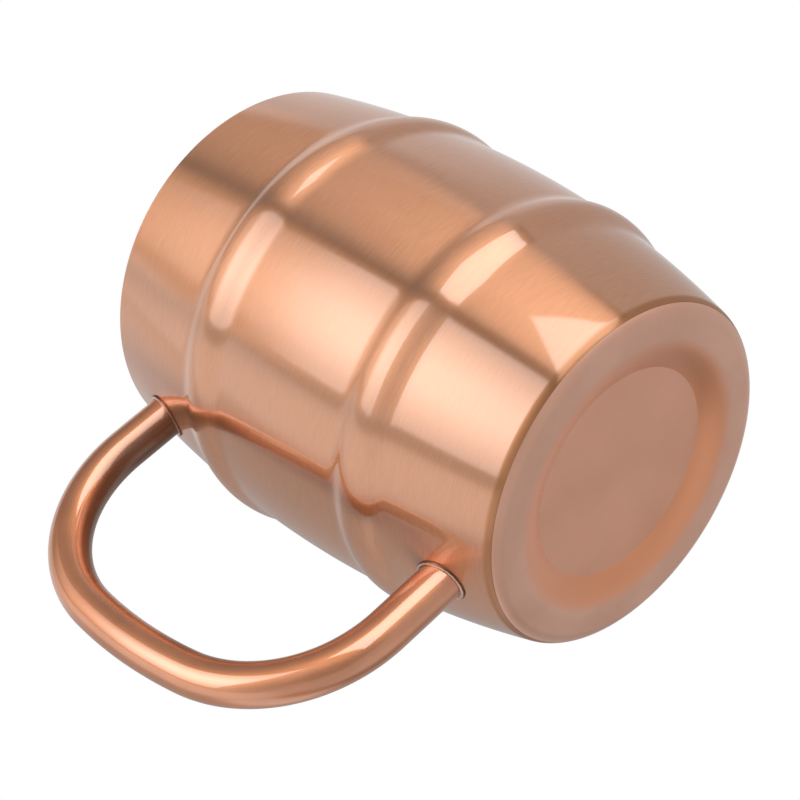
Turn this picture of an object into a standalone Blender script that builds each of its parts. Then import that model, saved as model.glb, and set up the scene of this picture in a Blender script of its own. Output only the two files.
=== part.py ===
"""Copper-plated barrel mug: a double wall of thin steel sheet with two rolled hoops and a bent tube handle.

The mug stands upright, +Z up, with its handle towards +X. The origin is under the middle of the mug and
handle together, on the plane that the mug stands on.
"""

import math

import bmesh
import bpy
from mathutils import Vector

# Driving dimensions, in metres.
HEIGHT = 0.105
BASE_RADIUS = 0.0347
SWELL_RADIUS = 0.0454
RIM_RADIUS = 0.0400
SHEET = 0.0006
GAP = 0.0003

HOOP_HEIGHTS = (0.0297, 0.0733)
HOOP_RISE = 0.00145
HOOP_CREST_RADIUS = 0.0085
HOOP_FILLET_RADIUS = 0.0065

CORNER_RADIUS = 0.0032
CORNER_SEAM_ANGLE = math.radians(45)
RING_INNER_RADIUS = 0.0290
DISC_RADIUS = 0.0213
DISC_HEIGHT = 0.0024

LINER_FLOOR_HEIGHT = 0.0080
LINER_FLOOR_RADIUS = 0.0340
LINER_CORNER_RADIUS = 0.0060

TUBE_RADIUS = 0.00425
TUBE_WALL = 0.0008
TUBE_BEND_RADIUS = 0.0298
HANDLE_LOWER_HEIGHT = 0.01215
HANDLE_UPPER_HEIGHT = 0.09055
HANDLE_BEND_START = 0.0514
GRIP_START_ANGLE = math.radians(78.5)
GRIP_END_ANGLE = math.radians(93.7)

LIP_RADIUS = 0.00075
BEAD_RADIUS = 0.0005
SEAM_RADIUS = 0.00028

TURNED_STEPS = 36
WALL_STEP = 0.0075
BEND_STEPS = 8
GRIP_STEPS = 4
BEAD_STEPS = 20
SEAM_STEPS = 6
CORNER_STEPS = 3
ROLL_STEPS = 4
LIP_STEPS = 6
TUBE_BEVEL_RESOLUTION = 4
BEAD_BEVEL_RESOLUTION = 1
MERGE_DISTANCE = 0.00001

COPPER = (0.72, 0.40, 0.25, 1.0)
FROSTED_COPPER = (0.50, 0.33, 0.27, 1.0)
WELD_COPPER = (0.74, 0.48, 0.38, 1.0)
STEEL = (0.62, 0.61, 0.59, 1.0)


def clear_scene():
    for thing in list(bpy.data.objects):
        bpy.data.objects.remove(thing, do_unlink=True)


def new_collection(name):
    collection = bpy.data.collections.new(name)
    bpy.context.scene.collection.children.link(collection)
    return collection


def new_material(name, colour, roughness):
    material = bpy.data.materials.new(name)
    material.use_nodes = True
    shader = material.node_tree.nodes["Principled BSDF"]
    shader.inputs["Base Color"].default_value = colour
    shader.inputs["Roughness"].default_value = roughness
    shader.inputs["Metallic"].default_value = 1.0
    return material


def hoop_angle():
    """The angle that both arcs of a hoop's section turn through."""
    return math.acos(1 - HOOP_RISE / (HOOP_CREST_RADIUS + HOOP_FILLET_RADIUS))


def hoop_half_widths():
    """Distances from a hoop's crest to where its crest arc ends and to where its fillet ends."""
    sine = math.sin(hoop_angle())
    return HOOP_CREST_RADIUS * sine, (HOOP_CREST_RADIUS + HOOP_FILLET_RADIUS) * sine


def hoop_rise(offset):
    """How far a hoop stands out at this distance from its crest: a round crest between two fillets."""
    offset = abs(offset)
    crest_end, fillet_end = hoop_half_widths()
    if offset < crest_end:
        return HOOP_RISE - HOOP_CREST_RADIUS + math.sqrt(HOOP_CREST_RADIUS**2 - offset**2)
    if offset < fillet_end:
        return HOOP_FILLET_RADIUS - math.sqrt(HOOP_FILLET_RADIUS**2 - (fillet_end - offset) ** 2)
    return 0.0


def wall_radius(z):
    """The outer wall's radius at height z: a cubic barrel curve and the two hoops."""
    t = z / HEIGHT
    barrel = (
        BASE_RADIUS * (1 - t) ** 3
        + 3 * SWELL_RADIUS * t * (1 - t)
        + RIM_RADIUS * t**3
    )
    return barrel + sum(hoop_rise(z - height) for height in HOOP_HEIGHTS)


def wall_heights(low, high):
    """Heights down the wall from high to low, with more of them on the hoops."""
    crest_end, fillet_end = hoop_half_widths()
    heights = {low, high}
    for middle in HOOP_HEIGHTS:
        for offset in (0, crest_end / 2, crest_end, (crest_end + fillet_end) / 2, fillet_end):
            heights |= {middle - offset, middle + offset}
    spans = sorted(heights)
    for start, end in zip(spans[:-1], spans[1:]):
        parts = max(1, round((end - start) / WALL_STEP))
        heights |= {start + (end - start) * part / parts for part in range(1, parts)}
    return sorted(heights, reverse=True)


def corner_point(angle, inset=0.0):
    """A point on the rounded corner between wall and base; angle is measured down from level."""
    middle = Vector((wall_radius(CORNER_RADIUS) - CORNER_RADIUS, 0, CORNER_RADIUS))
    reach = CORNER_RADIUS - inset
    return middle + Vector((math.cos(angle), 0, -math.sin(angle))) * reach


def arc(middle, radius, start, end, steps):
    """Points of an arc in the XZ plane, both ends included."""
    points = []
    for step in range(steps + 1):
        angle = start + (end - start) * step / steps
        points.append(middle + Vector((math.cos(angle), 0, math.sin(angle))) * radius)
    return points


def turned(name, profile, closed, material, collection, parent):
    """A profile in the XZ plane, listed down its outer side, turned round the mug's axis."""
    mesh = bpy.data.meshes.new(name)
    edges = [(i, i + 1) for i in range(len(profile) - 1)]
    if closed:
        edges.append((len(profile) - 1, 0))
    mesh.from_pydata(profile, edges, [])
    thing = bpy.data.objects.new(name, mesh)
    thing.data.materials.append(material)
    thing.parent = parent
    collection.objects.link(thing)
    screw = thing.modifiers.new("turn", "SCREW")
    screw.axis = "Z"
    screw.steps = TURNED_STEPS
    screw.render_steps = TURNED_STEPS
    screw.use_merge_vertices = True
    screw.merge_threshold = MERGE_DISTANCE
    screw.use_smooth_shade = True
    return thing


def add_sheet_thickness(thing):
    """Gives a turned outer face its sheet thickness, inwards."""
    solidify = thing.modifiers.new("sheet", "SOLIDIFY")
    solidify.thickness = SHEET
    solidify.offset = -1
    solidify.use_even_offset = True
    return thing


def make_outer_shell(material, collection, parent):
    seam_gap = (SEAM_RADIUS + GAP) / CORNER_RADIUS
    top = HEIGHT - LIP_RADIUS - GAP
    profile = [Vector((wall_radius(z), 0, z)) for z in wall_heights(CORNER_RADIUS, top)]
    profile.append(corner_point((CORNER_SEAM_ANGLE - seam_gap) / 2))
    profile.append(corner_point(CORNER_SEAM_ANGLE - seam_gap))
    shell = turned("outer_shell", profile, False, material, collection, parent)
    return add_sheet_thickness(shell)


def make_base_plate(material, collection, parent):
    seam_gap = (SEAM_RADIUS + GAP) / CORNER_RADIUS
    start = CORNER_SEAM_ANGLE + seam_gap
    turn = math.pi / 2 - start
    profile = [corner_point(start + turn * step / CORNER_STEPS) for step in range(CORNER_STEPS + 1)]
    run = RING_INNER_RADIUS - DISC_RADIUS
    roll_radius = (run**2 + DISC_HEIGHT**2) / (2 * DISC_HEIGHT)
    roll_turn = math.asin(run / roll_radius)
    middle = Vector((RING_INNER_RADIUS, 0, roll_radius))
    profile += arc(middle, roll_radius, -math.pi / 2, -math.pi / 2 - roll_turn, ROLL_STEPS)
    profile.append(Vector((0, 0, DISC_HEIGHT)))
    plate = turned("base_plate", profile, False, material, collection, parent)
    return add_sheet_thickness(plate)


def make_inner_liner(material, collection, parent):
    top = HEIGHT - LIP_RADIUS - GAP
    top_radius = wall_radius(top) - SHEET - GAP
    corner_middle = Vector((LINER_FLOOR_RADIUS, 0, LINER_FLOOR_HEIGHT))
    corner_middle += Vector((-LINER_CORNER_RADIUS, 0, LINER_CORNER_RADIUS))
    profile = [Vector((top_radius, 0, top))]
    profile += arc(corner_middle, LINER_CORNER_RADIUS, 0, -math.pi / 2, ROLL_STEPS)
    profile.append(Vector((0, 0, LINER_FLOOR_HEIGHT)))
    liner = turned("inner_liner", profile, False, material, collection, parent)
    return add_sheet_thickness(liner)


def make_rim_weld(material, collection, parent):
    """The lip: half round on top, flat below, as wide as the shell and the liner together."""
    height = HEIGHT - LIP_RADIUS
    middle = Vector((wall_radius(height) - LIP_RADIUS, 0, height))
    profile = arc(middle, LIP_RADIUS, math.pi, 0, LIP_STEPS)
    return turned("rim_weld", profile, True, material, collection, parent)


def make_base_weld(material, collection, parent):
    """A thin round bead in the seam of the corner."""
    middle = corner_point(CORNER_SEAM_ANGLE, inset=SEAM_RADIUS)
    ring = arc(middle, SEAM_RADIUS, math.pi / 2, -3 * math.pi / 2, SEAM_STEPS)
    return turned("base_weld", ring[:-1], True, material, collection, parent)


def grip_radius():
    """The radius of the long shallow arc between the two bends, which sets the handle's height."""
    lower_rise = TUBE_BEND_RADIUS * (1 - math.cos(GRIP_START_ANGLE))
    upper_rise = TUBE_BEND_RADIUS * (1 + math.cos(GRIP_END_ANGLE))
    left_over = HANDLE_UPPER_HEIGHT - HANDLE_LOWER_HEIGHT - lower_rise - upper_rise
    return left_over / (math.cos(GRIP_START_ANGLE) - math.cos(GRIP_END_ANGLE))


def bend(start, radius, heading, next_heading, steps):
    """Points after start along an arc that turns up from one heading to the next, measured from +X."""
    points = []
    for step in range(1, steps + 1):
        angle = heading + (next_heading - heading) * step / steps
        out = math.sin(angle) - math.sin(heading)
        up = math.cos(heading) - math.cos(angle)
        points.append(start + Vector((out, 0, up)) * radius)
    return points


def handle_route():
    """The tube's centre line from inside the lower wall to inside the upper wall."""
    inside_wall = wall_radius(HANDLE_LOWER_HEIGHT) - 2 * TUBE_RADIUS
    route = [Vector((inside_wall, 0, HANDLE_LOWER_HEIGHT))]
    route.append(Vector((HANDLE_BEND_START, 0, HANDLE_LOWER_HEIGHT)))
    route += bend(route[-1], TUBE_BEND_RADIUS, 0, GRIP_START_ANGLE, BEND_STEPS)
    route += bend(route[-1], grip_radius(), GRIP_START_ANGLE, GRIP_END_ANGLE, GRIP_STEPS)
    route += bend(route[-1], TUBE_BEND_RADIUS, GRIP_END_ANGLE, math.pi, BEND_STEPS)
    inside_wall = wall_radius(HANDLE_UPPER_HEIGHT) - 2 * TUBE_RADIUS
    route.append(Vector((inside_wall, 0, HANDLE_UPPER_HEIGHT)))
    return route


def tube_along(name, points, radius, collection, parent, cyclic=False):
    """A round rod along the points, as a curve."""
    curve = bpy.data.curves.new(name, "CURVE")
    curve.dimensions = "3D"
    curve.bevel_depth = radius
    curve.bevel_resolution = TUBE_BEVEL_RESOLUTION
    curve.use_fill_caps = not cyclic
    spline = curve.splines.new("POLY")
    spline.points.add(len(points) - 1)
    for place, point in zip(spline.points, points):
        place.co = (*point, 1.0)
    spline.use_cyclic_u = cyclic
    spline.use_smooth = True
    thing = bpy.data.objects.new(name, curve)
    thing.parent = parent
    collection.objects.link(thing)
    return thing


def made_mesh(rod, collection):
    """The same rod as a mesh with its caps joined on, so that it can be cut or can cut."""
    bpy.context.view_layer.update()
    name = rod.name
    parent = rod.parent
    graph = bpy.context.evaluated_depsgraph_get()
    mesh = bpy.data.meshes.new_from_object(rod.evaluated_get(graph))
    shape = bmesh.new()
    shape.from_mesh(mesh)
    bmesh.ops.remove_doubles(shape, verts=shape.verts, dist=MERGE_DISTANCE)
    bmesh.ops.recalc_face_normals(shape, faces=shape.faces)
    shape.to_mesh(mesh)
    shape.free()
    place = rod.matrix_world.copy()
    bpy.data.objects.remove(rod, do_unlink=True)
    thing = bpy.data.objects.new(name, mesh)
    collection.objects.link(thing)
    thing.parent = parent
    thing.matrix_world = place
    return thing


def hide_cutter(cutter):
    cutter.hide_render = True
    cutter.display_type = "WIRE"


def cut(thing, name, cutter):
    boolean = thing.modifiers.new(name, "BOOLEAN")
    boolean.operation = "DIFFERENCE"
    boolean.solver = "EXACT"
    boolean.object = cutter


def make_wall_cutter(material, collection, parent):
    """The mug's outer shape, larger by the gap, which copes the ends of the handle tube."""
    heights = wall_heights(CORNER_RADIUS, HEIGHT)
    profile = [Vector((0, 0, HEIGHT))]
    profile += [Vector((wall_radius(z) + GAP, 0, z)) for z in heights]
    profile.append(Vector((0, 0, CORNER_RADIUS)))
    cutter = turned("wall_cutter", profile, False, material, collection, parent)
    # Half a step round, so that no edge of the cutter lies along the tube's middle.
    cutter.rotation_euler.z = math.pi / TURNED_STEPS
    hide_cutter(cutter)
    return cutter


def make_handle_tube(material, collection, cutters, parent, wall_cutter):
    rod = tube_along("handle_tube", handle_route(), TUBE_RADIUS, collection, parent)
    tube = made_mesh(rod, collection)
    tube.data.materials.append(material)
    tube.data.shade_smooth()
    route = handle_route()
    route[0] = route[0] - Vector((TUBE_RADIUS, 0, 0))
    route[-1] = route[-1] - Vector((TUBE_RADIUS, 0, 0))
    bore = made_mesh(tube_along("tube_bore", route, TUBE_RADIUS - TUBE_WALL, cutters, parent), cutters)
    hide_cutter(bore)
    cut(tube, "cope", wall_cutter)
    cut(tube, "bore", bore)
    return tube


def make_handle_weld(name, height, material, collection, parent):
    """A bead round the tube that follows the curve of the wall."""
    reach = TUBE_RADIUS + GAP + BEAD_RADIUS
    stand_off = GAP + BEAD_RADIUS
    points = []
    for step in range(BEAD_STEPS):
        angle = 2 * math.pi * step / BEAD_STEPS
        y = reach * math.cos(angle)
        z = height + reach * math.sin(angle)
        x = math.sqrt((wall_radius(z) + stand_off) ** 2 - y**2)
        points.append(Vector((x, y, z)))
    bead = tube_along(name, points, BEAD_RADIUS, collection, parent, cyclic=True)
    bead.data.bevel_resolution = BEAD_BEVEL_RESOLUTION
    bead.data.materials.append(material)
    return bead


def handle_reach():
    return max(point.x for point in handle_route()) + TUBE_RADIUS


def widest_radius():
    return max(wall_radius(z) for z in HOOP_HEIGHTS)


def main():
    clear_scene()
    mug = new_collection("copper_mug")
    cutters = new_collection("cutters")

    copper = new_material("brushed_copper", COPPER, 0.32)
    polished = new_material("polished_copper", COPPER, 0.2)
    frosted = new_material("frosted_copper", FROSTED_COPPER, 0.55)
    weld = new_material("weld_copper", WELD_COPPER, 0.3)
    steel = new_material("brushed_steel", STEEL, 0.35)

    axis = bpy.data.objects.new("mug_axis", None)
    axis.location.x = (widest_radius() - handle_reach()) / 2
    mug.objects.link(axis)

    make_outer_shell(copper, mug, axis)
    make_base_plate(frosted, mug, axis)
    make_inner_liner(steel, mug, axis)
    make_rim_weld(copper, mug, axis)
    make_base_weld(weld, mug, axis)
    wall_cutter = make_wall_cutter(steel, cutters, axis)
    make_handle_tube(polished, mug, cutters, axis, wall_cutter)
    make_handle_weld("lower_handle_weld", HANDLE_LOWER_HEIGHT, weld, mug, axis)
    make_handle_weld("upper_handle_weld", HANDLE_UPPER_HEIGHT, weld, mug, axis)


main()
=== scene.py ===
import math

import bmesh
import bpy
from mathutils import Matrix, Vector


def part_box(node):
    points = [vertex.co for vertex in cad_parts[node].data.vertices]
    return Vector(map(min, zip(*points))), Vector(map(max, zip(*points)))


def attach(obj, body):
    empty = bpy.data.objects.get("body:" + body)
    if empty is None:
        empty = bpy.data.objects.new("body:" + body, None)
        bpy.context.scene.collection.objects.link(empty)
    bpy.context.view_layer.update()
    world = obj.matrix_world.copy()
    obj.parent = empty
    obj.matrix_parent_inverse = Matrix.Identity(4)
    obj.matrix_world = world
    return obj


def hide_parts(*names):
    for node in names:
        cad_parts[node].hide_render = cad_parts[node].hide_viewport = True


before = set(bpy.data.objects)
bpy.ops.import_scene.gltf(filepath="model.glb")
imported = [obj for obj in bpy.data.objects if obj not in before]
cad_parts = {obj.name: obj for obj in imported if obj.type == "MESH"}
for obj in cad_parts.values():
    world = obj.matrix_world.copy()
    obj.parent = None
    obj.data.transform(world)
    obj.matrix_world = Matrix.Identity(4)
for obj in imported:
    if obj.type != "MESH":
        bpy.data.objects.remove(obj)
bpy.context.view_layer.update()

# ---- Sizes of the mug, in metres, the same as the CAD model's ----------------------------------
BASE_RADIUS = 0.0347
SWELL_RADIUS = 0.0454
RIM_RADIUS = 0.0400
SHEET = 0.0006
HOOP_HEIGHTS = (0.0297, 0.0733)
HOOP_RISE = 0.00145
HOOP_CREST_RADIUS = 0.0085
HOOP_FILLET_RADIUS = 0.0065
CORNER_RADIUS = 0.0032
CORNER_SEAM_ANGLE = math.radians(45)
RING_INNER_RADIUS = 0.0290
DISC_RADIUS = 0.0213
DISC_HEIGHT = 0.0024
LINER_FLOOR_HEIGHT = 0.0080
LINER_FLOOR_RADIUS = 0.0340
LINER_CORNER_RADIUS = 0.0060
LINER_BULGE = 0.0030
TUBE_RADIUS = 0.00425
TUBE_BEND_RADIUS = 0.0298
HANDLE_LOWER_HEIGHT = 0.01215
HANDLE_UPPER_HEIGHT = 0.09055
HANDLE_BEND_START = 0.0514
GRIP_START_ANGLE = math.radians(78.5)
GRIP_END_ANGLE = math.radians(93.7)
LIP_RADIUS = 0.00075
BEAD_RADIUS = 0.0005
BEAD_REACH = 0.00455
BEAD_RIPPLE = 0.00002
# How many ripples go round a handle bead.
COARSE_RIPPLES = 23
FINE_RIPPLES = 41
FINE_RIPPLE_SHIFT = 1
SEAM_RADIUS = 0.00028
SEAM_DEPTH = 0.00003
SEAM_HALF_GAP = 0.00004

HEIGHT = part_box("rim_weld")[1].z
LINER_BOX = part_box("inner_liner")
AXIS = Vector(((LINER_BOX[0].x + LINER_BOX[1].x) / 2, 0, 0))
LINER_TOP_RADIUS = (LINER_BOX[1].x - LINER_BOX[0].x) / 2

# ---- How finely the pieces are made ------------------------------------------------------------
TURNED_STEPS = 256
WALL_STEP = 0.0008
CORNER_STEPS = 12
LINER_WALL_STEPS = 60
ROLL_STEPS = 14
ROUND_STEPS = 16
TUBE_SIDES = 48
BEND_STEPS = 48
GRIP_STEPS = 24
LEG_STEPS = 8
WELD_STEPS = 160
WELD_SIDES = 16
TILT_STEP = WALL_STEP / 100
MERGE_DISTANCE = 1e-7
SHARP_ANGLE = math.radians(30)

# ---- Looks: a pair of colours is the dark and the light end of a noise, lengths are in metres ---
BRUSHED_COPPER = ((0.75, 0.335, 0.168), (0.87, 0.400, 0.212))
BRUSH_LINES = (300, 300, 8000)
# Painted shade: the wall is darkened up to where the base's corner starts, with an uneven, faded edge,
# and loses most of its lacquer there.
WALL_SHADE_COPPER = (0.58, 0.25, 0.11)
WALL_SHADE_FADE = 0.0005
WALL_SHADE_UNEVENNESS = 0.0003

FROSTED_DISC = ((0.83, 0.415, 0.25), (0.90, 0.47, 0.30))
FROSTED_RING = ((0.80, 0.44, 0.30), (0.88, 0.51, 0.37))
BARE_ROLL = (0.90, 0.36, 0.17)
DISC_EDGE_FADE = 0.0002
# The ring's frost fades away between these two distances inside the ring's inner edge.
RING_FROST_START = 0.0040
RING_FROST_END = 0.0005

POLISHED_COPPER = ((0.72, 0.265, 0.10), (0.80, 0.30, 0.12))
# Painted shade: the colour of the handle's side that faces the mug.
HANDLE_SHADE_COPPER = (0.24, 0.11, 0.06)
HANDLE_SHADE_UNEVENNESS = 0.0006
# How far towards the mug from the tube's line the painted shade is full and gone, in shares of its
# radius.
FULL_SHADE_SHARE = 0.75
NO_SHADE_SHARE = 0.2

BEAD_COPPER = ((0.74, 0.48, 0.38), (0.86, 0.62, 0.52))
# The beads' edges: browned metal darkened further as painted shade where they meet the wall and the
# tube.
BEAD_EDGE = (0.22, 0.085, 0.045)
# Shares of a handle bead's radius between which its pale middle turns into its dark edge: browned
# metal that also carries painted shade where the bead meets the wall and the tube.
PALE_SHARE = 0.35
DARK_EDGE_SHARE = 0.75
# Painted shade: the dark colour of the bead sunk in the base's seam.
SEAM_SHADE_COPPER = ((0.34, 0.16, 0.08), (0.44, 0.21, 0.11))

BRUSHED_STEEL = ((0.70, 0.69, 0.67), (0.78, 0.77, 0.75))
STEEL_LINES = (60, 60, 5000)
FLOOR_PAPER = ((0.80, 0.80, 0.80), (0.84, 0.84, 0.84))
FLOOR_HALF_SIZE = 3.0


# ---- Shader graphs -----------------------------------------------------------------------------
class Signal:
    """One output of a node, with arithmetic that adds Math nodes."""

    def __init__(self, graph, socket):
        self.graph = graph
        self.socket = socket

    def math(self, operation, *values):
        sockets = dict(enumerate((self, *values)))
        return self.graph.add("ShaderNodeMath", sockets, operation=operation)

    def __add__(self, other):
        return self.math("ADD", other)

    def __sub__(self, other):
        return self.math("SUBTRACT", other)

    def __mul__(self, other):
        return self.math("MULTIPLY", other)

    def __rsub__(self, other):
        return self * -1 + other

    __radd__ = __add__
    __rmul__ = __mul__

    def rise(self, start, end):
        """0 below start and 1 above end, with a soft step between them."""
        sockets = {"Value": self, "From Min": start, "From Max": end}
        return self.graph.add("ShaderNodeMapRange", sockets, interpolation_type="SMOOTHSTEP")

    def spread(self, low, high):
        """Maps 0..1 onto low..high."""
        return self * (high - low) + low


class Graph:
    """The nodes of one material or world."""

    def __init__(self, tree):
        self.tree = tree
        tree.nodes.clear()

    def add(self, kind, sockets=(), output=0, **settings):
        node = self.tree.nodes.new(kind)
        for name, value in settings.items():
            setattr(node, name, value)
        for name, value in dict(sockets).items():
            if isinstance(value, Signal):
                self.tree.links.new(value.socket, node.inputs[name])
            else:
                node.inputs[name].default_value = value
        return Signal(self, node.outputs[output]) if node.outputs else node

    def vector(self, operation, *values, output="Vector"):
        """A Vector Math node."""
        return self.add("ShaderNodeVectorMath", enumerate(values), output, operation=operation)

    def split(self, place):
        """The x, y and z of a place."""
        node = self.add("ShaderNodeSeparateXYZ", {"Vector": place}).socket.node
        return [Signal(self, output) for output in node.outputs]

    def colour_mix(self, factor, low, high):
        """low where factor is 0 and high where it is 1, both colours."""
        colours = [value if isinstance(value, Signal) else (*value, 1) for value in (low, high)]
        sockets = {0: factor, 6: colours[0], 7: colours[1]}
        return self.add("ShaderNodeMix", sockets, output=2, data_type="RGBA")

    def mottle(self, tone, colours, span=(0.3, 0.7)):
        """The two colours mixed by a noise, which is stretched so that this span of it fills 0..1."""
        return self.colour_mix(tone.rise(*span), *colours)

    def bump(self, height, strength, distance=0.00004):
        sockets = {"Strength": strength, "Distance": distance, "Height": height}
        return self.add("ShaderNodeBump", sockets)


def noise(graph, place, scale, detail=2.0, roughness=0.5):
    sockets = {"Vector": place, "Scale": scale, "Detail": detail, "Roughness": roughness}
    return graph.add("ShaderNodeTexNoise", sockets)


def object_place(graph, scale=(1, 1, 1)):
    """Object coordinates measured from the mug's axis, stretched by scale."""
    place = graph.add("ShaderNodeTexCoord", output="Object")
    moved = [-AXIS[i] * scale[i] for i in range(3)]
    return graph.add("ShaderNodeMapping", {"Vector": place, "Location": moved, "Scale": scale})


def brush_lines(graph, scale):
    return noise(graph, object_place(graph, scale), 1.0, detail=3.0, roughness=0.6)


def new_material(name):
    material = bpy.data.materials.new(name)
    material.use_nodes = True
    return material, Graph(material.node_tree)


def finish_metal(graph, sockets):
    shader = graph.add("ShaderNodeBsdfPrincipled", {"Metallic": 1.0, **sockets})
    graph.add("ShaderNodeOutputMaterial", {"Surface": shader})


def brushed_copper_material():
    """Copper brushed round the barrel, under clear lacquer, with painted shade darkening it beside the
    base's seam.
    """
    material, graph = new_material("brushed_lacquered_copper")
    lines = brush_lines(graph, BRUSH_LINES)
    cloud = noise(graph, object_place(graph), 45.0, detail=3.0)
    unshaded = graph.mottle(lines * 0.8 + cloud * 0.2, BRUSHED_COPPER)
    # Painted shade: a dark band with less lacquer on the wall just above the base's corner.
    height = graph.split(object_place(graph))[2] + cloud * WALL_SHADE_UNEVENNESS
    dark_band = 1 - height.rise(CORNER_TOP - WALL_SHADE_FADE, CORNER_TOP + WALL_SHADE_FADE)
    finish_metal(graph, {
        "Base Color": graph.colour_mix(dark_band, unshaded, WALL_SHADE_COPPER),
        "Roughness": lines.spread(0.31, 0.39),
        "Anisotropic": 1.0,
        "Anisotropic Rotation": 0.25,
        "Coat Weight": 1.0 - dark_band * 0.7,
        "Coat Roughness": 0.05,
        "Coat IOR": 1.9,
        "Normal": graph.bump(lines, 0.13),
    })
    return material


def frosted_copper_material():
    """Frosted flats with a bare, glossier copper roll between the standing ring and the disc."""
    material, graph = new_material("frosted_copper")
    place = object_place(graph)
    grain = noise(graph, place, 2500.0, detail=2.0)
    cloud = noise(graph, place, 60.0, detail=4.0)
    radius = graph.vector("LENGTH", graph.vector("MULTIPLY", place, (1, 1, 0)), output="Value")
    on_disc = 1 - radius.rise(DISC_RADIUS - DISC_EDGE_FADE, DISC_RADIUS + DISC_EDGE_FADE)
    on_ring = radius.rise(RING_INNER_RADIUS - RING_FROST_START, RING_INNER_RADIUS - RING_FROST_END)
    frost = on_disc.math("MAXIMUM", on_ring)
    disc = graph.mottle(cloud, FROSTED_DISC)
    ring = graph.mottle(cloud, FROSTED_RING)
    finish_metal(graph, {
        "Base Color": graph.colour_mix(frost, BARE_ROLL, graph.colour_mix(on_ring, disc, ring)),
        "Roughness": frost.spread(0.36, 0.52) + cloud * 0.08,
        "Coat Weight": 1.0,
        "Coat Roughness": 0.30,
        "Coat IOR": 1.6,
        "Normal": graph.bump(grain, 0.25, distance=0.00005),
    })
    return material


def polished_copper_material():
    """Polished copper under lacquer, with painted shade darkening the side of the handle that faces
    the mug.
    """
    material, graph = new_material("polished_lacquered_copper")
    cloud = noise(graph, object_place(graph), 120.0, detail=4.0)
    grain = noise(graph, object_place(graph), 1800.0, detail=2.0)
    # Painted shade on the handle's side towards the mug, with less lacquer there.
    reach = loop_reach(graph) + cloud * HANDLE_SHADE_UNEVENNESS
    full_shade_reach = TUBE_BEND_RADIUS - TUBE_RADIUS * FULL_SHADE_SHARE
    no_shade_reach = TUBE_BEND_RADIUS - TUBE_RADIUS * NO_SHADE_SHARE
    handle_shade = 1 - reach.rise(full_shade_reach, no_shade_reach)
    unshaded = graph.mottle(cloud, POLISHED_COPPER)
    finish_metal(graph, {
        "Base Color": graph.colour_mix(handle_shade, unshaded, HANDLE_SHADE_COPPER),
        "Roughness": cloud.spread(0.40, 0.46),
        "Coat Weight": 1.0 - handle_shade * 0.6,
        "Coat Roughness": 0.05,
        "Coat IOR": 2.2,
        "Normal": graph.bump(grain, 0.02),
    })
    return material


def loop_reach(graph):
    """How far a point of the handle is from the line between the centres of its two bends."""
    x, _, z = graph.split(object_place(graph))
    outwards = (x - HANDLE_BEND_START).math("MAXIMUM", 0)
    below = (z - (HANDLE_LOWER_HEIGHT + TUBE_BEND_RADIUS)).math("MINIMUM", 0)
    above = (z - (HANDLE_UPPER_HEIGHT - TUBE_BEND_RADIUS)).math("MAXIMUM", 0)
    upright = below + above
    return (outwards * outwards + upright * upright).math("SQRT")


def weld_copper_material():
    """Pale copper along the middle of each handle bead, darker at its two edges: browned metal with
    painted shade where the bead meets the wall and the tube.
    """
    material, graph = new_material("weld_copper")
    cloud = noise(graph, object_place(graph), 900.0, detail=3.0)
    lower, upper = (weld_reach(graph, height) for height in (HANDLE_LOWER_HEIGHT, HANDLE_UPPER_HEIGHT))
    off_middle = (lower.math("MINIMUM", upper) - BEAD_REACH).math("ABSOLUTE")
    # Darker edges: partly browned metal, partly painted shade in the recess by the wall and the tube.
    dark_band = off_middle.rise(BEAD_RADIUS * PALE_SHARE, BEAD_RADIUS * DARK_EDGE_SHARE)
    pale = graph.mottle(cloud, BEAD_COPPER, span=(0.35, 0.65))
    finish_metal(graph, {
        "Base Color": graph.colour_mix(dark_band, pale, BEAD_EDGE),
        "Roughness": cloud.spread(0.25, 0.40),
        "Coat Weight": 1.0 - dark_band,
        "Coat Roughness": 0.08,
    })
    return material


def weld_reach(graph, height):
    """How far a point is from the tube's line, which runs level at this height."""
    offset = graph.vector("SUBTRACT", object_place(graph), (0, 0, height))
    return graph.vector("LENGTH", graph.vector("MULTIPLY", offset, (0, 1, 1)), output="Value")


def seam_shade_material():
    """The bead at the bottom of the base's seam, coloured dark as painted shade."""
    material, graph = new_material("seam_painted_shade_copper")
    cloud = noise(graph, object_place(graph), 400.0, detail=3.0)
    finish_metal(graph, {"Base Color": graph.colour_mix(cloud, *SEAM_SHADE_COPPER), "Roughness": 0.55})
    return material


def brushed_steel_material():
    """Bare stainless steel, brushed round the cup."""
    material, graph = new_material("brushed_steel")
    lines = brush_lines(graph, STEEL_LINES)
    cloud = noise(graph, object_place(graph), 50.0, detail=3.0)
    finish_metal(graph, {
        "Base Color": graph.mottle(cloud, BRUSHED_STEEL),
        "Roughness": lines.spread(0.26, 0.38),
        "Anisotropic": 0.7,
        "Anisotropic Rotation": 0.25,
        "Normal": graph.bump(lines, 0.15),
    })
    return material


# ---- The mug's outlines ------------------------------------------------------------------------
def hoop_bulge(offset):
    """How far a hoop stands out of the wall, offset above or below its middle."""
    turn = math.acos(1 - HOOP_RISE / (HOOP_CREST_RADIUS + HOOP_FILLET_RADIUS))
    crest_end = HOOP_CREST_RADIUS * math.sin(turn)
    fillet_end = (HOOP_CREST_RADIUS + HOOP_FILLET_RADIUS) * math.sin(turn)
    offset = abs(offset)
    if offset < crest_end:
        return HOOP_RISE - HOOP_CREST_RADIUS + math.sqrt(HOOP_CREST_RADIUS**2 - offset**2)
    if offset < fillet_end:
        return HOOP_FILLET_RADIUS - math.sqrt(HOOP_FILLET_RADIUS**2 - (fillet_end - offset) ** 2)
    return 0.0


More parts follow.
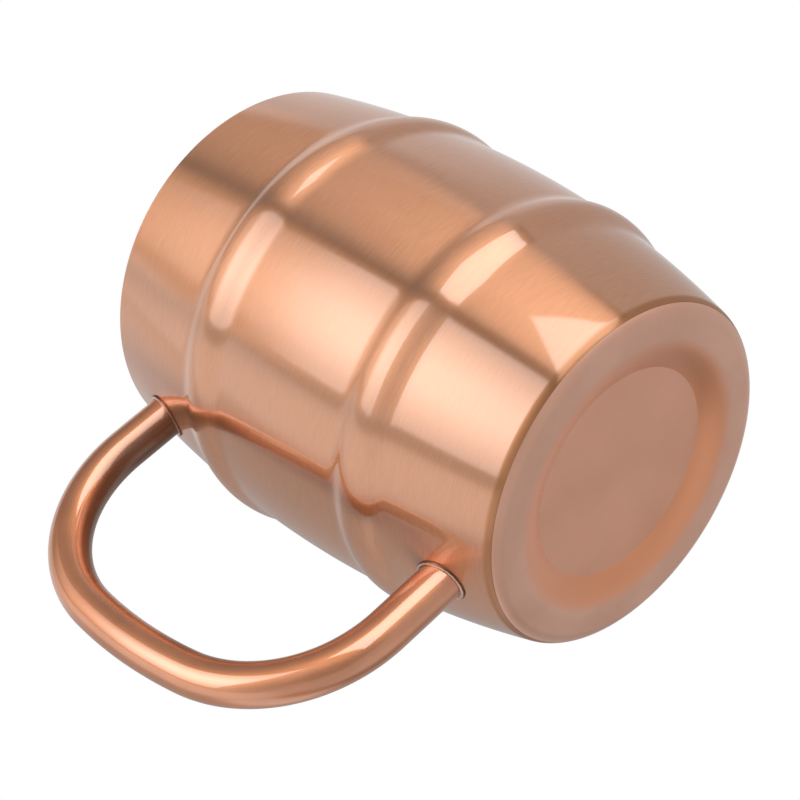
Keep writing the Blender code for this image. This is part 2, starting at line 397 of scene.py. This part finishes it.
def wall_radius(height):
    up = height / HEIGHT
    barrel = BASE_RADIUS * (1 - up) ** 3 + 3 * SWELL_RADIUS * up * (1 - up) + RIM_RADIUS * up**3
    return barrel + sum(hoop_bulge(height - middle) for middle in HOOP_HEIGHTS)


def arc(middle, radius, start, end, steps):
    """Points (radius from the axis, height) along an arc, angles from straight outwards."""
    angles = [start + (end - start) * i / steps for i in range(steps + 1)]
    return [(middle[0] + radius * math.cos(a), middle[1] + radius * math.sin(a)) for a in angles]


def wall_line(bottom, top, inset=0.0):
    steps = round((top - bottom) / WALL_STEP)
    heights = [bottom + (top - bottom) * i / steps for i in range(steps + 1)]
    return [(wall_radius(height) - inset, height) for height in heights]


def wall_tilt(height):
    """How far the wall leans outwards at this height, as an angle."""
    return math.atan2(wall_radius(height + TILT_STEP) - wall_radius(height), TILT_STEP)


# The corner's arc starts where the wall ends, in line with the wall's lean.
CORNER_START_ANGLE = wall_tilt(CORNER_RADIUS)
CORNER_TOP = CORNER_RADIUS * (1 - math.sin(CORNER_START_ANGLE))
CORNER_MIDDLE = (wall_radius(CORNER_TOP) - CORNER_RADIUS * math.cos(CORNER_START_ANGLE), CORNER_RADIUS)


# ---- Making pieces -----------------------------------------------------------------------------
def turned(name, outline):
    """A piece spun round the mug's axis from a closed outline of (radius, height) points."""
    mesh = bmesh.new()
    verts = [mesh.verts.new(AXIS + Vector((radius, 0, height))) for radius, height in outline]
    edges = [mesh.edges.new(pair) for pair in zip(verts, verts[1:] + verts[:1])]
    bmesh.ops.spin(
        mesh, geom=verts + edges, cent=AXIS, axis=(0, 0, 1), angle=math.tau,
        steps=TURNED_STEPS, use_merge=True, use_duplicate=False,
    )
    return finished(name, mesh)


def finished(name, mesh):
    """The mesh as an object: doubles merged, normals outwards, smooth but for its sharp edges."""
    bmesh.ops.remove_doubles(mesh, verts=mesh.verts, dist=MERGE_DISTANCE)
    bmesh.ops.recalc_face_normals(mesh, faces=mesh.faces)
    data = bpy.data.meshes.new(name)
    mesh.to_mesh(data)
    mesh.free()
    data.shade_smooth()
    data.set_sharp_from_angle(angle=SHARP_ANGLE)
    piece = bpy.data.objects.new(name, data)
    bpy.context.scene.collection.objects.link(piece)
    return piece


def make_barrel_shell():
    """The outer skin: a rounded lower corner, the barrel wall and its two hoops."""
    top = HEIGHT - LIP_RADIUS
    seam = -CORNER_SEAM_ANGLE + SEAM_HALF_GAP / CORNER_RADIUS

    def face(inset):
        corner = arc(CORNER_MIDDLE, CORNER_RADIUS - inset, seam, -CORNER_START_ANGLE, CORNER_STEPS)
        return corner[:-1] + wall_line(CORNER_TOP, top, inset)

    return turned("outer_shell_skin", face(0.0) + face(SHEET)[::-1])


def make_base_plate():
    """The standing ring, the rounded step inside it and the sunk disc."""
    run = RING_INNER_RADIUS - DISC_RADIUS
    roll_radius = (run**2 + DISC_HEIGHT**2) / (2 * DISC_HEIGHT)
    roll_turn = math.asin(run / roll_radius)
    roll_middle = (RING_INNER_RADIUS, roll_radius)
    seam = -CORNER_SEAM_ANGLE - SEAM_HALF_GAP / CORNER_RADIUS
    down = -math.pi / 2

    def face(inset):
        corner = arc(CORNER_MIDDLE, CORNER_RADIUS - inset, seam, down, CORNER_STEPS)
        roll = arc(roll_middle, roll_radius - inset, down, down - roll_turn, ROLL_STEPS)
        return corner + roll + [(0.0, DISC_HEIGHT + inset)]

    return turned("base_plate_face", face(0.0) + face(SHEET)[::-1])


def make_inner_liner():
    """The steel cup inside: floor, rounded corner and a slightly bulging wall up to the rim."""
    top = HEIGHT - LIP_RADIUS
    start = LINER_FLOOR_HEIGHT + LINER_CORNER_RADIUS
    middle = (LINER_FLOOR_RADIUS - LINER_CORNER_RADIUS, start)

    def wall_point(step, inset):
        up = step / LINER_WALL_STEPS
        radius = LINER_FLOOR_RADIUS + (LINER_TOP_RADIUS - LINER_FLOOR_RADIUS) * up
        return radius + 4 * LINER_BULGE * up * (1 - up) - inset, start + (top - start) * up

    def face(inset):
        corner = arc(middle, LINER_CORNER_RADIUS - inset, -math.pi / 2, 0, CORNER_STEPS)
        wall = [wall_point(step, inset) for step in range(1, LINER_WALL_STEPS + 1)]
        return [(0.0, LINER_FLOOR_HEIGHT + inset)] + corner + wall

    return turned("inner_liner_cup", face(0.0) + face(SHEET)[::-1])


def make_rim_lip():
    """The rounded lip over the top of the outer wall and the liner."""
    height = HEIGHT - LIP_RADIUS
    middle = (wall_radius(height) - LIP_RADIUS, height)
    return turned("rim_weld_lip", arc(middle, LIP_RADIUS, 0, math.tau, ROUND_STEPS)[:-1])


def make_base_seam():
    """The bead in the seam of the lower corner, sunk a little below the sheet's face."""
    reach = CORNER_RADIUS - SEAM_RADIUS - SEAM_DEPTH
    middle = arc(CORNER_MIDDLE, reach, -CORNER_SEAM_ANGLE, 0, 1)[0]
    return turned("base_weld_seam", arc(middle, SEAM_RADIUS, 0, math.tau, ROUND_STEPS)[:-1])


def grip_radius():
    """The radius of the long shallow arc between the two bends, which sets the handle's height."""
    lower_rise = TUBE_BEND_RADIUS * (1 - math.cos(GRIP_START_ANGLE))
    upper_rise = TUBE_BEND_RADIUS * (1 + math.cos(GRIP_END_ANGLE))
    left_over = HANDLE_UPPER_HEIGHT - HANDLE_LOWER_HEIGHT - lower_rise - upper_rise
    return left_over / (math.cos(GRIP_START_ANGLE) - math.cos(GRIP_END_ANGLE))


def make_handle():
    """A round tube: a level leg, a bend, the long shallow grip, a second bend and a level leg."""
    start_radius = wall_radius(HANDLE_LOWER_HEIGHT) - SHEET
    start = AXIS + Vector((start_radius, 0, HANDLE_LOWER_HEIGHT))
    end_radius = wall_radius(HANDLE_UPPER_HEIGHT) - SHEET
    end = AXIS + Vector((end_radius, 0, HANDLE_UPPER_HEIGHT))
    mesh = bmesh.new()
    facing = Matrix.Translation(start) @ Matrix.Rotation(math.pi / 2, 4, "Y")
    ring = bmesh.ops.create_circle(
        mesh, cap_ends=False, segments=TUBE_SIDES, radius=TUBE_RADIUS, matrix=facing
    )
    edges = list({edge for vert in ring["verts"] for edge in vert.link_edges})
    place = AXIS + Vector((HANDLE_BEND_START, 0, HANDLE_LOWER_HEIGHT))
    edges = extend(mesh, edges, place - start)
    arcs = (
        (TUBE_BEND_RADIUS, 0, GRIP_START_ANGLE, BEND_STEPS),
        (grip_radius(), GRIP_START_ANGLE, GRIP_END_ANGLE, GRIP_STEPS),
        (TUBE_BEND_RADIUS, GRIP_END_ANGLE, math.pi, BEND_STEPS),
    )
    for radius, heading, next_heading, steps in arcs:
        centre = place + Vector((-math.sin(heading), 0, math.cos(heading))) * radius
        verts = list({vert for edge in edges for vert in edge.verts})
        spun = bmesh.ops.spin(
            mesh, geom=verts + edges, cent=centre, axis=(0, -1, 0), angle=next_heading - heading,
            steps=steps, use_duplicate=False,
        )
        edges = [item for item in spun["geom_last"] if isinstance(item, bmesh.types.BMEdge)]
        place = centre + Vector((math.sin(next_heading), 0, -math.cos(next_heading))) * radius
    extend(mesh, edges, end - place)
    rims = [edge for edge in mesh.edges if edge.is_boundary]
    bmesh.ops.holes_fill(mesh, edges=rims, sides=0)
    return finished("handle_tube_bent", mesh)


def extend(mesh, edges, step):
    """Runs a ring of edges on by step, in LEG_STEPS short lengths."""
    for _ in range(LEG_STEPS):
        grown = bmesh.ops.extrude_edge_only(mesh, edges=edges)["geom"]
        verts = [item for item in grown if isinstance(item, bmesh.types.BMVert)]
        edges = [item for item in grown if isinstance(item, bmesh.types.BMEdge)]
        bmesh.ops.translate(mesh, verts=verts, vec=step / LEG_STEPS)
    return edges


def make_handle_weld(name, height):
    """A thin, slightly rippled bead round the tube where it meets the wall."""
    mesh = bmesh.new()
    centre = AXIS + Vector((0, 0, height))
    place = Matrix.Translation(centre + Vector((0, 0, BEAD_REACH)))
    ring = bmesh.ops.create_circle(
        mesh, cap_ends=False, segments=WELD_SIDES, radius=BEAD_RADIUS,
        matrix=place @ Matrix.Rotation(math.pi / 2, 4, "X"),
    )
    verts = ring["verts"]
    edges = list({edge for vert in verts for edge in vert.link_edges})
    bmesh.ops.spin(
        mesh, geom=verts + edges, cent=centre, axis=(1, 0, 0), angle=math.tau,
        steps=WELD_STEPS, use_merge=True, use_duplicate=False,
    )
    for vert in mesh.verts:
        side = vert.co.y
        rise = vert.co.z - height
        around = math.atan2(side, rise)
        wall = wall_radius(vert.co.z)
        coarse = math.sin(COARSE_RIPPLES * around)
        fine = math.sin(FINE_RIPPLES * around + FINE_RIPPLE_SHIFT) / 2
        vert.co.x += math.sqrt(wall**2 - side**2) + BEAD_RIPPLE * (coarse + fine)
    return finished(name, mesh)


# ---- The studio --------------------------------------------------------------------------------
# The inside of the light tent, seen from the mug: patches between two azimuths and two elevations,
# in degrees, with the softness of the side, lower and upper edges, and how bright they are. Azimuth 0
# is the handle's side. A later patch lies over an earlier one.
TENT_LEVEL = 0.55
TENT_PATCHES = (
    ("cloth behind and above", (-210, -118), (30, 110), (12, 10, 10), 0.74),
    ("cloth over the handle", (-118, -22), (48, 110), (12, 5, 10), 0.73),
    ("dim side past the handle", (-112, -20), (-25, 45), (7, 8, 5), 0.42),
    ("shade below the handle", (-112, -20), (-46, -20), (6, 6, 8), 0.22),
    ("pale table under the base", (-135, -50), (-85, -50), (15, 8, 6), 0.66),
    ("pale cloth below the handle", (-75, -15), (-30, -2), (12, 8, 8), 0.90),
    ("dark room behind", (148, 235), (-62, 28), (8, 10, 10), 0.52),
    ("dark room by the camera", (35, 112), (-70, -12), (12, 10, 10), 0.26),
    ("table below the side softbox", (35, 84), (-26, -6), (10, 6, 5), 0.42),
    ("pale cloth beside the handle", (-14, 18), (-32, 62), (5, 10, 14), 0.93),
    ("dim roof over the softboxes", (20, 160), (40, 95), (8, 14, 10), 0.18),
    ("glow over the top softbox", (91, 139), (4, 48), (2.5, 2, 12), 0.27),
    ("side softbox fading upwards", (31, 84), (38, 62), (5, 6, 10), 0.64),
    ("side softbox", (25, 84), (1, 38), (1.5, 0.6, 8), 1.70),
    ("bright middle of the side softbox", (38, 71), (1, 38), (14, 0.6, 10), 2.90),
    ("top softbox", (90.5, 138), (-46, 0), (0.6, 0.6, 0.6), 2.60),
    ("seam by the handle", (17.5, 24.5), (-50, 46), (2.5, 10, 14), 0.48),
    ("seam between the softboxes", (84.5, 90.5), (-30, 80), (1.6, 10, 10), 0.14),
    ("seam behind the top softbox", (138.5, 143), (-25, 14), (1.0, 6, 6), 0.20),
)
# The top softbox hangs askew, so its upper edge peaks: azimuth and elevation of the peak, in degrees,
# and the slopes of the edge before and after it.
SOFTBOX_PEAK = (107.5, 12.4)
SOFTBOX_SLOPES = (0.53, 0.19)
# Where azimuths are carried on past half a turn, in radians, for the patches that cross it.
CARRY_START = 2.44
CARRY_END = 2.45


def between(angle, limits, softness):
    """1 where angle is between two limits, fading over the softness at each, all in degrees."""
    low, high = (math.radians(limit) for limit in limits)
    low_soft, high_soft = (math.radians(soft) for soft in softness)
    in_low = angle.rise(low - low_soft, low + low_soft)
    return in_low * (1 - angle.rise(high - high_soft, high + high_soft))


def softbox_edge(azimuth):
    """The elevation of the top softbox's upper edge."""
    peak_azimuth, peak = (math.radians(angle) for angle in SOFTBOX_PEAK)
    past = azimuth - peak_azimuth
    return (past * SOFTBOX_SLOPES[0] + peak).math("MINIMUM", past * -SOFTBOX_SLOPES[1] + peak)


def make_studio_light():
    """A pale light tent with two bright softboxes and dark seams between them."""
    world = bpy.data.worlds.new("light_tent")
    bpy.context.scene.world = world
    world.use_nodes = True
    graph = Graph(world.node_tree)
    x, y, z = graph.split(graph.add("ShaderNodeTexCoord", output="Generated"))
    azimuth = y.math("ARCTAN2", x)
    azimuth_on = azimuth + math.tau * (1 - azimuth.rise(-CARRY_END, -CARRY_START))
    azimuth_back = azimuth - math.tau * azimuth.rise(CARRY_START, CARRY_END)
    elevation = z.math("ARCSINE")
    level = TENT_LEVEL
    for name, sides, ends, softness, brightness in TENT_PATCHES:
        around = azimuth
        height = elevation
        if sides[1] > 180:
            around = azimuth_on
        if sides[0] < -180:
            around = azimuth_back
        if name == "top softbox":
            height = elevation - softbox_edge(azimuth)
        side_soft, lower_soft, upper_soft = softness
        inside = between(around, sides, (side_soft, side_soft))
        inside = inside * between(height, ends, (lower_soft, upper_soft))
        level = level + (brightness - level) * inside
    camera_ray = graph.add("ShaderNodeLightPath", output="Is Camera Ray")
    level = level * (1 - camera_ray) + camera_ray
    background = graph.add("ShaderNodeBackground", {"Color": (1, 1, 1, 1), "Strength": level})
    graph.add("ShaderNodeOutputWorld", {"Surface": background})


def make_floor():
    """A pale floor, seen from above only."""
    mesh = bmesh.new()
    bmesh.ops.create_grid(mesh, x_segments=1, y_segments=1, size=FLOOR_HALF_SIZE)
    floor = finished("floor", mesh)
    if floor.data.polygons[0].normal.z < 0:
        floor.data.flip_normals()
    material, graph = new_material("floor_paper")
    colour = graph.colour_mix(noise(graph, object_place(graph), 3.0), *FLOOR_PAPER)
    paper = graph.add("ShaderNodeBsdfPrincipled", {"Base Color": colour, "Roughness": 0.8})
    clear = graph.add("ShaderNodeBsdfTransparent")
    below = graph.add("ShaderNodeNewGeometry", output="Backfacing")
    mixed = graph.add("ShaderNodeMixShader", {0: below, 1: paper, 2: clear})
    graph.add("ShaderNodeOutputMaterial", {"Surface": mixed})
    floor.data.materials.append(material)
    for ray in ("visible_diffuse", "visible_glossy", "visible_transmission", "visible_shadow"):
        setattr(floor, ray, False)


CAMERA_DISTANCE = 0.40002
CAMERA_AZIMUTH = math.radians(62.9)
CAMERA_ELEVATION = math.radians(-38.646)
CAMERA_ROLL = math.radians(-58.625)
CAMERA_SLIDE = (0.007293, 0.006927)
CAMERA_LENS = 90.0
CAMERA_SENSOR = 36.0
CAMERA_CLIP_START = 0.01


def make_camera():
    """Looks up at the mug's base from the side away from the handle."""
    turn = Matrix.Rotation(CAMERA_AZIMUTH, 3, "Z")
    back = Vector((math.cos(CAMERA_ELEVATION), 0, math.sin(CAMERA_ELEVATION)))
    level_right = Vector((0, 1, 0))
    level_up = back.cross(level_right)
    right = level_right * math.cos(CAMERA_ROLL) + level_up * math.sin(CAMERA_ROLL)
    up = level_up * math.cos(CAMERA_ROLL) - level_right * math.sin(CAMERA_ROLL)
    place = Vector((0, 0, HEIGHT / 2)) + back * CAMERA_DISTANCE
    place -= right * CAMERA_SLIDE[0] + up * CAMERA_SLIDE[1]
    facing = Matrix((turn @ right, turn @ up, turn @ back)).transposed()
    camera = bpy.data.objects.new("camera", bpy.data.cameras.new("camera"))
    camera.data.sensor_width = CAMERA_SENSOR
    camera.data.lens = CAMERA_LENS
    camera.data.clip_start = CAMERA_CLIP_START
    camera.matrix_world = Matrix.Translation(AXIS + turn @ place) @ facing.to_4x4()
    bpy.context.scene.collection.objects.link(camera)
    bpy.context.scene.camera = camera


def place_pieces():
    copper = brushed_copper_material()
    frosted = frosted_copper_material()
    polished = polished_copper_material()
    weld = weld_copper_material()
    seam = seam_shade_material()
    steel = brushed_steel_material()
    lower_bead = make_handle_weld("lower_handle_bead", HANDLE_LOWER_HEIGHT)
    upper_bead = make_handle_weld("upper_handle_bead", HANDLE_UPPER_HEIGHT)
    pieces = (
        (make_barrel_shell(), "outer_shell", "brushed_copper", copper),
        (make_base_plate(), "base_plate", "frosted_copper", frosted),
        (make_inner_liner(), "inner_liner", "brushed_steel", steel),
        (make_rim_lip(), "rim_weld", "brushed_copper", copper),
        (make_base_seam(), "base_weld", "weld_copper", seam),
        (make_handle(), "handle_tube", "polished_copper", polished),
        (lower_bead, "lower_handle_weld", "weld_copper", weld),
        (upper_bead, "upper_handle_weld", "weld_copper", weld),
    )
    for piece, node, slot, material in pieces:
        piece.data.materials.append(material)
        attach(piece, "root")
        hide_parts(node)


place_pieces()
make_floor()
make_studio_light()
make_camera()
bpy.context.scene.view_settings.view_transform = "Standard"
